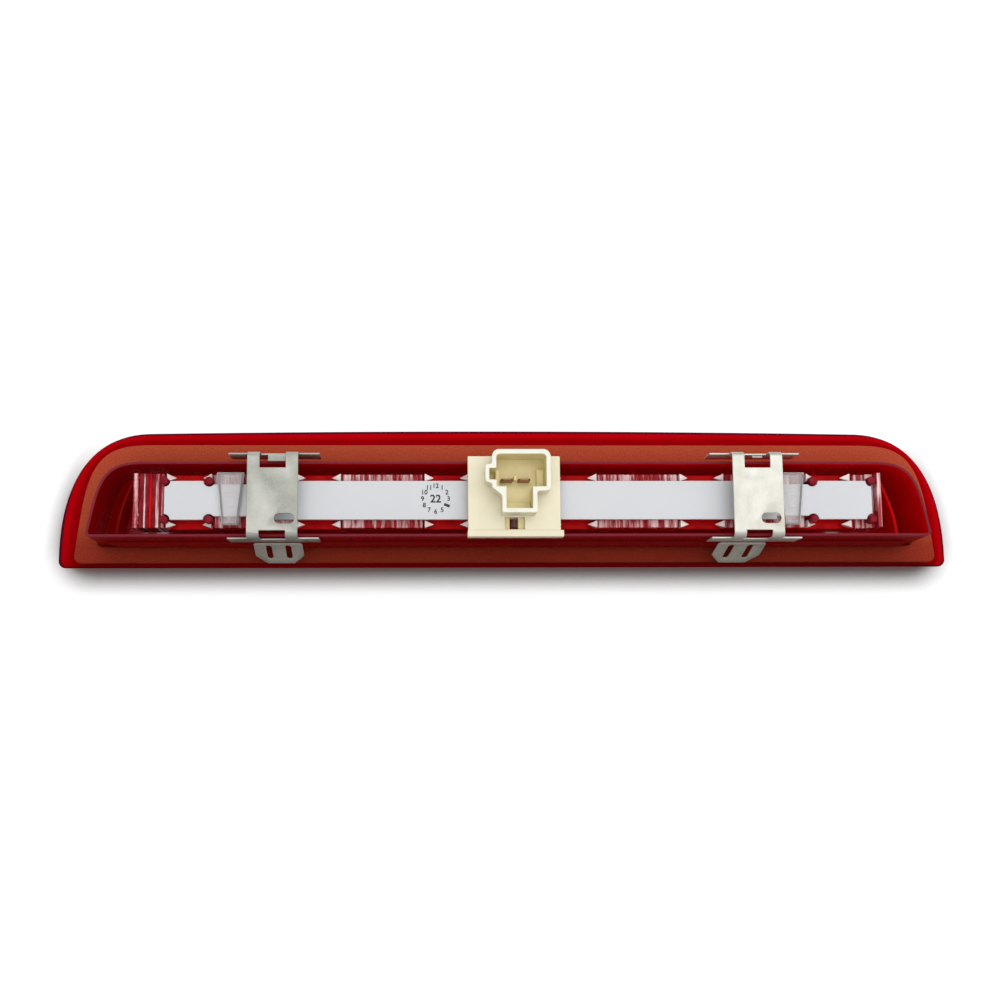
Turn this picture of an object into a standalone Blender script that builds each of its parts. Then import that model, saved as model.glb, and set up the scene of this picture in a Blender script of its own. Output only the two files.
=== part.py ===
"""Third brake light: lens, gasket, housing, light guide, LED board, connector and two spring clips.

Frame: +X along the lamp, +Z up, the lens faces +Y. The origin is on the rear face of the gasket,
at the middle of its lower band, which is where the lamp seats on the body panel.
"""
import math

import bmesh
import bpy
from mathutils import Matrix, Vector

MM = 0.001
GAP = 0.3 * MM

# Lens
LENS_HALF_LENGTH = 190.0 * MM
LENS_BOTTOM = -4.1 * MM
LENS_TOP = 54.1 * MM
LENS_CROWN = 1.2 * MM
LENS_EDGE_Y = 15.0 * MM
LENS_FRONT_Y = 24.0 * MM
LENS_WALL = 2.4 * MM

# Gasket and the flange it is stuck to
GASKET_HALF_LENGTH = 179.0 * MM
GASKET_BOTTOM = -3.7 * MM
GASKET_TOP = 45.9 * MM
GASKET_THICK = 3.1 * MM
FLANGE_Y = GASKET_THICK + GAP

# Housing tub
RIM_Y = -21.0 * MM
RIM_HALF_LENGTH = 168.4 * MM
RIM_BOTTOM = 4.4 * MM
RIM_TOP = 34.7 * MM
WALL_DRAFT = 0.6 * MM
HOUSING_WALL = 1.9 * MM
LENS_BASE_Y = FLANGE_Y + HOUSING_WALL + GAP
RIB_X = (-128.0 * MM, -52.0 * MM, 52.0 * MM, 128.0 * MM)
RIB_THICK = 2.0 * MM

# LED board
BOARD_REAR_Y = -19.0 * MM
BOARD_THICK = 1.6 * MM
BOARD_LEFT = -138.2 * MM
BOARD_RIGHT = 145.7 * MM
BOARD_LOW = 11.5 * MM
BOARD_HIGH = 27.1 * MM
NECK_INSET = 1.4 * MM
LEFT_NECK = (-120.5 * MM, -101.0 * MM)
RIGHT_NECK = (107.0 * MM, 121.7 * MM)
NOTCH_RADIUS = 2.3 * MM
POST_RADIUS = 1.8 * MM
LED_SIZE = (3.5 * MM, 1.2 * MM, 2.8 * MM)
RESISTOR_SIZE = (3.2 * MM, 0.6 * MM, 1.6 * MM)
RESISTOR_X = (-52.0 * MM, 12.0 * MM, 52.0 * MM)
DIODE_SIZE = (4.3 * MM, 1.4 * MM, 2.6 * MM)
DIODE_X = -6.15 * MM
CAPACITOR_SIZE = (2.0 * MM, 1.2 * MM, 1.2 * MM)
CAPACITOR_X = 3.0 * MM

# Straps over the board's necks
STRAP_X = (-111.8 * MM, 112.5 * MM)
STRAP_TOP_HALF_WIDTH = 5.4 * MM
STRAP_FOOT_HALF_WIDTH = 3.2 * MM

# Light guide
CELL_PITCH = 51.5 * MM
CELL_COUNT = 6
GUIDE_LEFT = -151.0 * MM
GUIDE_RIGHT = 149.6 * MM
GUIDE_END_WALL = 2.0 * MM
GUIDE_LOW = 8.4 * MM
GUIDE_HIGH = 30.4 * MM
GUIDE_REAR_Y = -13.0 * MM
GUIDE_FRONT_Y = -4.0 * MM
CONE_REAR_Y = -15.5 * MM
CONE_REAR_RADIUS = 4.0 * MM
CONE_FRONT_RADIUS = 10.4 * MM

# Connector block
BLOCK_LEFT = -17.6 * MM
BLOCK_RIGHT = 18.9 * MM
BLOCK_LOW = 3.9 * MM
BLOCK_HIGH = 35.8 * MM
BLOCK_REAR_Y = -25.5 * MM
SOCKET_MOUTH_Y = -34.0 * MM
SOCKET_FLOOR_Y = -22.4 * MM
BLADE_Z = 26.0 * MM
BLADE_WIDTH = 4.8 * MM
BLADE_THICK = 0.8 * MM
BLADE_X = (-2.3 * MM, 4.5 * MM)
BLADE_TIP_Y = -27.6 * MM
WINDOW_X = (-3.1 * MM, 4.7 * MM)
WINDOW_Z = (6.6 * MM, 11.4 * MM)
SOCKET_OUTLINE = (
    (-8.6, 21.2), (-8.6, 23.3), (-11.2, 24.2), (-11.2, 31.0), (-8.6, 31.0), (-8.6, 34.9),
    (-6.6, 36.9), (12.4, 36.9), (14.4, 34.9), (14.4, 20.4), (9.0, 20.4), (9.0, 11.9),
    (-4.7, 11.9), (-4.7, 18.6),
)
SOCKET_HOLLOW = (
    (-3.0, 13.7), (7.2, 13.7), (7.2, 22.2), (12.6, 22.2), (12.6, 35.0), (-6.8, 35.0),
    (-6.8, 29.4), (-9.6, 29.4), (-9.6, 24.9), (-6.8, 24.9), (-6.8, 22.2), (-3.0, 22.2),
)

# Spring clips
CLIP_X = (-94.3 * MM, 97.2 * MM)
CLIP_HALF_WIDTH = 10.0 * MM
EAR_HALF_WIDTH = 18.0 * MM
SHEET = 0.7 * MM
CLIP_REAR_Y = -27.5 * MM
EAR_REAR_Y = -23.7 * MM
EAR_FRONT_Y = -14.0 * MM
CLIP_LOW = 3.1 * MM
CLIP_HIGH = 37.5 * MM
CLIP_BEND = 1.6 * MM
NOTCH_HALF_WIDTH = 5.1 * MM
TOP_NOTCH_FLOOR = 30.9 * MM
TONGUE_X = (-2.6 * MM, 6.4 * MM)
TONGUE_Y = (-23.4 * MM, -22.7 * MM)
TONGUE_LOW = 33.6 * MM
SLOT_X = (0.9 * MM, 8.6 * MM)
SLOT_Z = (8.7 * MM, 12.7 * MM)
FINGER_X = (-93.7 * MM, 94.4 * MM)
FINGER_LENGTH = 13.2 * MM
FINGER_HALF_WIDTH = 9.8 * MM
FINGER_FLARE = math.radians(35.0)
FINGER_ROOT_Y = -13.6 * MM
FINGER_TIP_HALF_WIDTH = 5.4 * MM
FINGER_SLOT_X = 3.9 * MM
FINGER_SLOT_HALF_WIDTH = 1.15 * MM
FINGER_SLOT_SPAN = (2.4 * MM, 9.6 * MM)


def clear_scene():
    for obj in list(bpy.data.objects):
        bpy.data.objects.remove(obj, do_unlink=True)


def new_collection(name):
    group = bpy.data.collections.new(name)
    bpy.context.scene.collection.children.link(group)
    return group


def material(name, color, roughness, metallic=0.0, transmission=0.0):
    mat = bpy.data.materials.new(name)
    mat.use_nodes = True
    shader = mat.node_tree.nodes["Principled BSDF"]
    shader.inputs["Base Color"].default_value = (*color, 1.0)
    shader.inputs["Roughness"].default_value = roughness
    shader.inputs["Metallic"].default_value = metallic
    shader.inputs["Transmission Weight"].default_value = transmission
    return mat


def make_object(name, bm, mat, group):
    mesh = bpy.data.meshes.new(name)
    bm.to_mesh(mesh)
    bm.free()
    obj = bpy.data.objects.new(name, mesh)
    if mat is not None:
        mesh.materials.append(mat)
    group.objects.link(obj)
    return obj


def box_mesh(x0, x1, y0, y1, z0, z1):
    bm = bmesh.new()
    bmesh.ops.create_cube(bm, size=1.0)
    bmesh.ops.scale(bm, vec=(x1 - x0, y1 - y0, z1 - z0), verts=bm.verts)
    bmesh.ops.translate(bm, vec=((x0 + x1) / 2, (y0 + y1) / 2, (z0 + z1) / 2), verts=bm.verts)
    return bm


def round_mesh(x, z, radius_rear, radius_front, y_rear, y_front, segments):
    """A cylinder or cone whose axis runs along Y."""
    bm = bmesh.new()
    bmesh.ops.create_cone(
        bm, cap_ends=True, segments=segments, radius1=radius_rear, radius2=radius_front, depth=y_front - y_rear
    )
    bmesh.ops.rotate(bm, matrix=Matrix.Rotation(math.radians(-90.0), 3, "X"), verts=bm.verts)
    bmesh.ops.translate(bm, vec=(x, (y_rear + y_front) / 2, z), verts=bm.verts)
    return bm


def plate_mesh(points, y0, y1):
    """A flat outline of (x, z) points, extruded from y0 to y1."""
    bm = bmesh.new()
    rear = [bm.verts.new((x, y0, z)) for x, z in points]
    face = bm.faces.new(rear)
    made = bmesh.ops.extrude_face_region(bm, geom=[face])
    moved = [v for v in made["geom"] if isinstance(v, bmesh.types.BMVert)]
    bmesh.ops.translate(bm, vec=(0, y1 - y0, 0), verts=moved)
    bmesh.ops.recalc_face_normals(bm, faces=bm.faces)
    return bm


def combine(target, tools, operation, cutters):
    """Boolean each tool mesh into the target, as modifiers that stay on the object."""
    for index, bm in enumerate(tools):
        tool = make_object(f"{target.name}_tool_{operation.lower()}_{index}", bm, None, cutters)
        tool.hide_render = True
        tool.display_type = "WIRE"
        step = target.modifiers.new(f"{operation.lower()}_{index}", "BOOLEAN")
        step.operation = operation
        step.solver = "EXACT"
        step.object = tool


def outline(half_length, low, high, corner_x, power, lean, crown, foot=3.0 * MM):
    """Outline seen from behind: flat bottom, leaning ends, large upper corners and a slight crown."""
    right = []
    for step in range(5):
        angle = math.radians(-90.0 + 22.5 * step)
        right.append((half_length - foot + foot * math.cos(angle), low + foot + foot * math.sin(angle)))
    base = low + foot
    across = half_length - corner_x
    rise = high - base
    corner_steps = 12
    for step in range(1, corner_steps + 1):
        angle = math.radians(90.0) * step / corner_steps
        sideways = across * max(math.cos(angle), 0.0) ** (2.0 / power)
        upward = rise * math.sin(angle) ** (2.0 / power)
        right.append((corner_x + sideways - lean * upward, base + upward))
    top_x = right[-1][0]
    crown_steps = 4
    for step in range(1, crown_steps):
        x = top_x * (1.0 - step / crown_steps)
        right.append((x, high + crown * (1.0 - (x / top_x) ** 2)))
    left = [(-x, z) for x, z in reversed(right)]
    middle = [(0.0, high + crown)]
    return right + middle + left


def lens_outline(blend, inset=0.0):
    """Lens section: blend 0 at the skirt's base beside the gasket, 1 at the widest edge."""
    base = (GASKET_HALF_LENGTH + 1.6 * MM, GASKET_BOTTOM - 0.4 * MM, GASKET_TOP + 1.6 * MM, 4.0, 0.12)
    edge = (LENS_HALF_LENGTH, LENS_BOTTOM, LENS_TOP, 2.4, 0.0)
    half, low, high, power, lean = [a + (b - a) * blend for a, b in zip(base, edge)]
    corner_x = 0.145 + 0.005 * blend
    return outline(half - inset, low + inset, high - inset, corner_x, power, lean, LENS_CROWN * blend)


def gasket_outline(margin=0.0):
    return outline(
        GASKET_HALF_LENGTH + margin, GASKET_BOTTOM - margin, GASKET_TOP + margin, 145.0 * MM, 4.5, 0.12, 0.0
    )


def tub_outline(margin=0.0):
    return outline(
        RIM_HALF_LENGTH + margin, RIM_BOTTOM - margin, RIM_TOP + margin, 144.0 * MM, 4.5, 0.2, 0.0, foot=2.0 * MM
    )


def loft(rings, cap_last=False):
    """An open surface through rings of equal point counts, each ring a list of (x, y, z)."""
    bm = bmesh.new()
    rows = [[bm.verts.new(point) for point in ring] for ring in rings]
    count = len(rings[0])
    for row, following in zip(rows, rows[1:]):
        for index in range(count):
            after = (index + 1) % count
            bm.faces.new((row[index], following[index], following[after], row[after]))
    if cap_last:
        bm.faces.new(list(reversed(rows[-1])))
    return bm


def at_depth(points, y):
    return [(x, y, z) for x, z in points]


def smooth(obj, degrees=35.0):
    obj.data.shade_smooth()
    obj.data.set_sharp_from_angle(angle=math.radians(degrees))


def thicken(obj, thickness, offset):
    step = obj.modifiers.new("wall", "SOLIDIFY")
    step.thickness = thickness
    step.offset = offset


def make_lens(group):
    """The red outer lens: a curved skirt from the gasket to the widest edge, and a gently bulged front."""
    red = material("lens_red", (0.55, 0.004, 0.008), 0.12, transmission=0.7)
    depth = LENS_EDGE_Y - LENS_BASE_Y
    rings = []
    for share in (0.0, 0.35, 0.7, 1.0):
        swell = math.sin(math.radians(90.0) * share)
        rings.append(at_depth(lens_outline(swell), LENS_BASE_Y + depth * share))
    front = LENS_FRONT_Y - LENS_EDGE_Y
    for share in (0.45, 0.8, 1.0):
        angle = math.radians(90.0) * share
        inset = 9.0 * MM * (1.0 - math.cos(angle))
        rings.append(at_depth(lens_outline(1.0, inset), LENS_EDGE_Y + front * math.sin(angle)))
    lens = make_object("outer_lens", loft(rings, cap_last=True), red, group)
    thicken(lens, LENS_WALL, -1.0)
    smooth(lens)


def make_gasket(group):
    """The terracotta foam ring that seals the lamp to the body panel."""
    foam = material("gasket_foam", (0.36, 0.07, 0.03), 0.9)
    outer = gasket_outline()
    inner = tub_outline(WALL_DRAFT + 0.5 * MM)
    rings = [
        at_depth(inner, GASKET_THICK),
        at_depth(inner, 0.0),
        at_depth(outer, 0.0),
        at_depth(outer, GASKET_THICK),
        at_depth(inner, GASKET_THICK),
    ]
    bm = loft(rings)
    bmesh.ops.remove_doubles(bm, verts=bm.verts, dist=0.00001)
    bmesh.ops.recalc_face_normals(bm, faces=bm.faces)
    make_object("gasket", bm, foam, group)


def make_housing(group, cutters):
    """The housing: a deep wall, open at the back, with the flange under the gasket and cross ribs."""
    red = material("housing_red", (0.3, 0.006, 0.008), 0.3, transmission=0.4)
    rings = [
        at_depth(tub_outline(), RIM_Y),
        at_depth(tub_outline(WALL_DRAFT), FLANGE_Y),
        at_depth(gasket_outline(0.1 * MM), FLANGE_Y),
    ]
    housing = make_object("housing", loft(rings), red, group)
    thicken(housing, HOUSING_WALL, -1.0)
    ribs = []
    for x in RIB_X:
        ribs.append(
            box_mesh(x - RIB_THICK / 2, x + RIB_THICK / 2, GUIDE_FRONT_Y + GAP, FLANGE_Y, RIM_BOTTOM, RIM_TOP)
        )
    combine(housing, ribs, "UNION", cutters)
    smooth(housing)


def make_light_guide(group, cutters):
    """The clear optic: a bar with end walls, six collimator cones and the posts that locate the board."""
    clear = material("clear_optic", (0.8, 0.7, 0.7), 0.05, transmission=0.9)
    bar = box_mesh(GUIDE_LEFT, GUIDE_RIGHT, GUIDE_REAR_Y, GUIDE_FRONT_Y, GUIDE_LOW, GUIDE_HIGH)
    guide = make_object("light_guide", bar, clear, group)
    middle = (GUIDE_LOW + GUIDE_HIGH) / 2
    parts = []
    for index in range(CELL_COUNT):
        x = (index - (CELL_COUNT - 1) / 2) * CELL_PITCH
        parts.append(
            round_mesh(x, middle, CONE_REAR_RADIUS, CONE_FRONT_RADIUS, CONE_REAR_Y, GUIDE_FRONT_Y - 1.0 * MM, 20)
        )
    for low_x, high_x in ((GUIDE_LEFT, GUIDE_LEFT + GUIDE_END_WALL), (GUIDE_RIGHT - GUIDE_END_WALL, GUIDE_RIGHT)):
        parts.append(box_mesh(low_x, high_x, BOARD_REAR_Y, GUIDE_FRONT_Y - 0.5 * MM, GUIDE_LOW, GUIDE_HIGH))
    for x in (BOARD_LEFT, LEFT_NECK[0], RIGHT_NECK[1], BOARD_RIGHT):
        for z in (BOARD_LOW, BOARD_HIGH):
            parts.append(
                round_mesh(x, z, POST_RADIUS, POST_RADIUS, BOARD_REAR_Y - 1.2 * MM, GUIDE_REAR_Y + 1.0 * MM, 12)
            )
    combine(guide, parts, "UNION", cutters)


def make_board(group, cutters):
    """The white LED board, with narrow necks beside the clips and notches for the locating posts."""
    white = material("board_white", (0.75, 0.76, 0.77), 0.35)
    front = BOARD_REAR_Y + BOARD_THICK
    board = make_object(
        "led_board",
        box_mesh(BOARD_LEFT, BOARD_RIGHT, BOARD_REAR_Y, front, BOARD_LOW, BOARD_HIGH),
        white,
        group,
    )
    past = 1.0 * MM
    rear = BOARD_REAR_Y - past
    cuts = []
    for x0, x1 in (LEFT_NECK, RIGHT_NECK):
        cuts.append(box_mesh(x0, x1, rear, front + past, BOARD_LOW - past, BOARD_LOW + NECK_INSET))
        cuts.append(box_mesh(x0, x1, rear, front + past, BOARD_HIGH - NECK_INSET, BOARD_HIGH + past))
    for x in (BOARD_LEFT, LEFT_NECK[0], RIGHT_NECK[1], BOARD_RIGHT):
        for z in (BOARD_LOW, BOARD_HIGH):
            cuts.append(round_mesh(x, z, NOTCH_RADIUS, NOTCH_RADIUS, rear, front + past, 20))
    combine(board, cuts, "DIFFERENCE", cutters)


def part_on_board(x, size):
    """A component body of (length, depth, height) on the board's front face, centred on its height."""
    face = BOARD_REAR_Y + BOARD_THICK + GAP
    middle = (BOARD_LOW + BOARD_HIGH) / 2
    length, depth, height = size
    return box_mesh(x - length / 2, x + length / 2, face, face + depth, middle - height / 2, middle + height / 2)


def make_board_parts(group):
    """LEDs and the drive components, all on the hidden front face of the board."""
    lamp = material("led_package", (0.85, 0.8, 0.55), 0.3)
    black = material("component_black", (0.02, 0.02, 0.02), 0.5)
    tan = material("capacitor_tan", (0.45, 0.33, 0.2), 0.5)
    for index in range(CELL_COUNT):
        x = (index - (CELL_COUNT - 1) / 2) * CELL_PITCH
        make_object(f"led_{index + 1}", part_on_board(x, LED_SIZE), lamp, group)
    for index, x in enumerate(RESISTOR_X):
        make_object(f"resistor_{index + 1}", part_on_board(x, RESISTOR_SIZE), black, group)
    make_object("protection_diode", part_on_board(DIODE_X, DIODE_SIZE), black, group)
    make_object("capacitor", part_on_board(CAPACITOR_X, CAPACITOR_SIZE), tan, group)


def make_straps(group, cutters):
    """Two clear tapered straps that hold the board's necks down onto the light guide."""
    clear = material("clear_strap", (0.85, 0.8, 0.8), 0.08, transmission=0.8)
    rear = BOARD_REAR_Y - 1.9 * MM
    front = BOARD_REAR_Y - GAP
    wide = STRAP_TOP_HALF_WIDTH
    narrow = STRAP_FOOT_HALF_WIDTH
    top = GUIDE_HIGH - 0.2 * MM
    bottom = GUIDE_LOW + 0.8 * MM
    for name, centre in zip(("left_board_strap", "right_board_strap"), STRAP_X):
        points = [
            (centre - narrow, bottom),
            (centre + narrow, bottom),
            (centre + wide, top),
            (centre - wide, top),
        ]
        strap = make_object(name, plate_mesh(points, rear, front), clear, group)
        leg_front = GUIDE_REAR_Y - GAP
        legs = [
            box_mesh(centre - wide, centre + wide, front - 0.8 * MM, leg_front, top - 1.6 * MM, top - 0.1 * MM),
            box_mesh(
                centre - narrow, centre + narrow, front - 0.8 * MM, leg_front, bottom + 0.1 * MM, bottom + 1.5 * MM
            ),
        ]
        combine(strap, legs, "UNION", cutters)


def make_connector(group, cutters):
    """The ivory connector block: a plate across the housing with a T-shaped two-pin socket and a window."""
    ivory = material("connector_ivory", (0.7, 0.66, 0.48), 0.4)
    plate = box_mesh(BLOCK_LEFT, BLOCK_RIGHT, BLOCK_REAR_Y, RIM_Y - GAP, BLOCK_LOW, BLOCK_HIGH)
    block = make_object("connector_block", plate, ivory, group)
    root = BLOCK_REAR_Y + 1.0 * MM
    points = [(x * MM, z * MM) for x, z in SOCKET_OUTLINE]
    combine(block, [plate_mesh(points, SOCKET_MOUTH_Y, root)], "UNION", cutters)
    mouth = SOCKET_MOUTH_Y - 1.0 * MM
    points = [(x * MM, z * MM) for x, z in SOCKET_HOLLOW]
    cuts = [plate_mesh(points, mouth, SOCKET_FLOOR_Y)]
    cuts.append(box_mesh(*WINDOW_X, BLOCK_REAR_Y - 1.0 * MM, -20.0 * MM, *WINDOW_Z))
    for x in BLADE_X:
        reach = BLADE_WIDTH / 2 + GAP
        height = BLADE_THICK / 2 + GAP
        cuts.append(
            box_mesh(
                x - reach, x + reach, SOCKET_FLOOR_Y - 1.0 * MM, -20.0 * MM, BLADE_Z - height, BLADE_Z + height
            )
        )
    combine(block, cuts, "DIFFERENCE", cutters)


def make_terminals(group):
    """Two flat blade terminals that stand in the socket and reach the board behind it."""
    copper = material("terminal_copper", (0.42, 0.2, 0.1), 0.3, metallic=1.0)
    for name, x in zip(("left_terminal", "right_terminal"), BLADE_X):
        bm = box_mesh(
            x - BLADE_WIDTH / 2,
            x + BLADE_WIDTH / 2,
            BLADE_TIP_Y,
            BOARD_REAR_Y - GAP,
            BLADE_Z - BLADE_THICK / 2,
            BLADE_Z + BLADE_THICK / 2,
        )
        make_object(name, bm, copper, group)


def saddle_mesh(x):
    """The outer surface of the clip's back strip, bent forward at the top and the bottom."""
    outer = [
        (EAR_FRONT_Y - 4.0 * MM, CLIP_HIGH),
        (EAR_REAR_Y, CLIP_HIGH),
        (CLIP_REAR_Y + CLIP_BEND, CLIP_HIGH - 0.5 * MM),
        (CLIP_REAR_Y, CLIP_HIGH - CLIP_BEND - 0.5 * MM),
        (CLIP_REAR_Y, CLIP_LOW + CLIP_BEND + 0.5 * MM),
        (CLIP_REAR_Y + CLIP_BEND, CLIP_LOW + 0.5 * MM),
        (EAR_REAR_Y, CLIP_LOW),
    ]
    bm = bmesh.new()
    rows = []
    for side in (-1, 1):
        rows.append([bm.verts.new((x + side * CLIP_HALF_WIDTH, y, z)) for y, z in outer])
    for index in range(len(outer) - 1):
        bm.faces.new((rows[0][index], rows[0][index + 1], rows[1][index + 1], rows[1][index]))
    return bm


def slot_mesh(x0, x1, z0, z1):
    """A slot with round ends, for cutting through the clip's back plate."""
    radius = (z1 - z0) / 2
    points = []
    for centre, start in ((x1 - radius, -90.0), (x0 + radius, 90.0)):
        for step in range(9):
            angle = math.radians(start + 22.5 * step)
            points.append((centre + radius * math.cos(angle), z0 + radius + radius * math.sin(angle)))
    return plate_mesh(points, CLIP_REAR_Y - 1.0 * MM, CLIP_REAR_Y + 2.0 * MM)


def make_clip_body(name, x, steel, group, cutters):
    """A stamped saddle clip: back plate, wide ears over the housing, and a lanced tongue under the top ear."""
    clip = make_object(name, saddle_mesh(x), steel, group)
    thicken(clip, SHEET, -1.0)
    past = 0.05 * MM
    top = (CLIP_HIGH - SHEET - past, CLIP_HIGH + past)
    low = (CLIP_LOW - past, CLIP_LOW + SHEET + past)
    wide = EAR_HALF_WIDTH
    parts = [
        box_mesh(x - wide, x + wide, EAR_REAR_Y, EAR_FRONT_Y, *top),
        box_mesh(x - wide, x + wide, EAR_REAR_Y, EAR_FRONT_Y, *low),
        box_mesh(x + TONGUE_X[0], x + TONGUE_X[1], *TONGUE_Y, TONGUE_LOW, CLIP_HIGH - 0.2 * MM),
    ]
    combine(clip, parts, "UNION", cutters)
    notch = NOTCH_HALF_WIDTH
    cuts = [
        box_mesh(
            x - notch, x + notch, CLIP_REAR_Y - 1.0 * MM, EAR_REAR_Y - 0.2 * MM, TOP_NOTCH_FLOOR,
            CLIP_HIGH + 1.5 * MM,
        ),
        box_mesh(
            x - notch, x + notch, CLIP_REAR_Y - 1.0 * MM, EAR_REAR_Y + 3.0 * MM, CLIP_LOW - 1.1 * MM,
            CLIP_LOW + 2.9 * MM,
        ),
        slot_mesh(x + SLOT_X[0], x + SLOT_X[1], *SLOT_Z),
    ]
    combine(clip, cuts, "DIFFERENCE", cutters)


def make_clip_finger(name, x, steel, group, cutters):
    """The clip's flared spring finger: an eight-sided tongue with two long slots, hinged at its root."""
    wide = FINGER_HALF_WIDTH
    tip = FINGER_TIP_HALF_WIDTH
    reach = FINGER_LENGTH
    points = [
        (-wide + 1.0 * MM, 0.0),
        (-wide, 1.0 * MM),
        (-wide, reach * 0.6),
        (-tip, reach),
        (tip, reach),
        (wide, reach * 0.6),
        (wide, 1.0 * MM),
        (wide - 1.0 * MM, 0.0),
    ]
    bm = bmesh.new()
    face = bm.faces.new([bm.verts.new((px, py, 0.0)) for px, py in points])
    made = bmesh.ops.extrude_face_region(bm, geom=[face])
    moved = [v for v in made["geom"] if isinstance(v, bmesh.types.BMVert)]
    bmesh.ops.translate(bm, vec=(0, 0, SHEET), verts=moved)
    bmesh.ops.recalc_face_normals(bm, faces=bm.faces)
    finger = make_object(name, bm, steel, group)
    place = Matrix.Translation(Vector((x, FINGER_ROOT_Y, CLIP_LOW))) @ Matrix.Rotation(-FINGER_FLARE, 4, "X")
    finger.matrix_world = place
    for index, side in enumerate((-1, 1)):
        slot_x = side * FINGER_SLOT_X
        half = FINGER_SLOT_HALF_WIDTH
        tool = make_object(
            f"{name}_slot_{index}",
            box_mesh(slot_x - half, slot_x + half, *FINGER_SLOT_SPAN, -1.0 * MM, 2.0 * MM),
            None,
            cutters,
        )
        tool.matrix_world = place
        tool.hide_render = True
        tool.display_type = "WIRE"
        step = finger.modifiers.new(f"slot_{index}", "BOOLEAN")
        step.operation = "DIFFERENCE"
        step.solver = "EXACT"
        step.object = tool


def make_clips(group, cutters):
    steel = material("clip_steel", (0.62, 0.61, 0.57), 0.32, metallic=1.0)
    for side, x, finger_x in zip(("left", "right"), CLIP_X, FINGER_X):
        make_clip_body(f"{side}_clip", x, steel, group, cutters)
        make_clip_finger(f"{side}_clip_finger", finger_x, steel, group, cutters)


def main():
    clear_scene()
    parts = new_collection("third_brake_light")
    cutters = new_collection("cutters")
    make_lens(parts)
    make_gasket(parts)
    make_housing(parts, cutters)
    make_light_guide(parts, cutters)
    make_board(parts, cutters)
    make_board_parts(parts)
    make_straps(parts, cutters)
    make_connector(parts, cutters)
    make_terminals(parts)
    make_clips(parts, cutters)


main()
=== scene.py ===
"""Third brake light, seen from behind: looks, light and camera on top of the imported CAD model."""

import math

import bmesh
import bpy
from mathutils import Matrix, Vector


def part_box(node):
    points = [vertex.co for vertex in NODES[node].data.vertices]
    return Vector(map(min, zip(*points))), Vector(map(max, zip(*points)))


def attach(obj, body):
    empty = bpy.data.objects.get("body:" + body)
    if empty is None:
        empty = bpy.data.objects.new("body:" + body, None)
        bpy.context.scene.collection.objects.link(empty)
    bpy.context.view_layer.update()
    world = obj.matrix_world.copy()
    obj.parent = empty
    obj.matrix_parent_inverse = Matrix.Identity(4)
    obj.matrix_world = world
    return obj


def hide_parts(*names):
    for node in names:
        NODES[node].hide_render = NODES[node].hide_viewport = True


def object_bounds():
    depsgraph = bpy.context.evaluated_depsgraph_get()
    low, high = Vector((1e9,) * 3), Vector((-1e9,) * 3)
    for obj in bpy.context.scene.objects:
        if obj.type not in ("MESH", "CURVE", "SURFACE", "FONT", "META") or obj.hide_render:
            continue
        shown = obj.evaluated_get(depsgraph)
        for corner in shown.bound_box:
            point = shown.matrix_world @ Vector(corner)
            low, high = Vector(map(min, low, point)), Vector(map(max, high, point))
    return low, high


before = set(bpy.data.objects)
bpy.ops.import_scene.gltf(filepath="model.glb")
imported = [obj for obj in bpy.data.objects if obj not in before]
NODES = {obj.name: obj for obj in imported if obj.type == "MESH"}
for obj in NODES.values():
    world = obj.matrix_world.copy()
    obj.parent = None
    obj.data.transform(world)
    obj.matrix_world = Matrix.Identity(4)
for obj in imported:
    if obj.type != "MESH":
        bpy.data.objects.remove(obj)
CAD_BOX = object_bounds()
MM = 0.001

# The stage: tones and glow of the floor and card, their reach, and where the painted soft shadow lies.
CARD_GLOW = 0.78
CARD_TONE = 0.3
FLOOR_TONE = 0.74
STAGE_REACH = 1.2
STAGE_GAP = 0.6 * MM
CONTACT_REACH = 14.0 * MM
SHADOW_TOP = (20.0 * MM, 55.0 * MM)

# ---------------------------------------------------------------- camera, light and stage


def make_camera():
    """A 40 mm lens a little left of and below the lamp, looking slightly up at its open back."""
    data = bpy.data.cameras.new("camera")
    data.sensor_width = 36.0
    data.lens = 39.95
    data.shift_x = 0.0506
    data.shift_y = 0.0566
    data.clip_start = 0.01
    camera = bpy.data.objects.new("camera", data)
    bpy.context.scene.collection.objects.link(camera)
    pan = math.radians(1.375)
    tilt = math.radians(6.78)
    roll = math.radians(-0.264)
    forward = Vector((math.sin(pan) * math.cos(tilt), math.cos(pan) * math.cos(tilt), math.sin(tilt)))
    across = Vector((math.cos(pan), -math.sin(pan), 0.0))
    upward = across.cross(forward)
    right = across * math.cos(roll) + upward * math.sin(roll)
    up = upward * math.cos(roll) - across * math.sin(roll)
    turn = Matrix((right, up, -forward)).transposed().to_4x4()
    camera.matrix_world = Matrix.Translation((-0.0354, -0.4567, -0.0555)) @ turn
    bpy.context.scene.camera = camera


def make_world():
    """White studio surroundings, dimmer on the side behind the camera so that red plastic stays deep."""
    world = bpy.data.worlds.new("studio")
    bpy.context.scene.world = world
    world.use_nodes = True
    nodes = world.node_tree.nodes
    links = world.node_tree.links
    coordinates = nodes.new("ShaderNodeTexCoord")
    split = nodes.new("ShaderNodeSeparateXYZ")
    ramp = nodes.new("ShaderNodeMapRange")
    ramp.inputs["From Min"].default_value = -0.35
    ramp.inputs["From Max"].default_value = 0.25
    ramp.inputs["To Min"].default_value = 0.42
    ramp.inputs["To Max"].default_value = 0.8
    links.new(coordinates.outputs["Generated"], split.inputs[0])
    links.new(split.outputs["Y"], ramp.inputs["Value"])
    links.new(ramp.outputs["Result"], nodes["Background"].inputs["Strength"])
    nodes["Background"].inputs["Color"].default_value = (1.0, 1.0, 1.0, 1.0)


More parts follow.
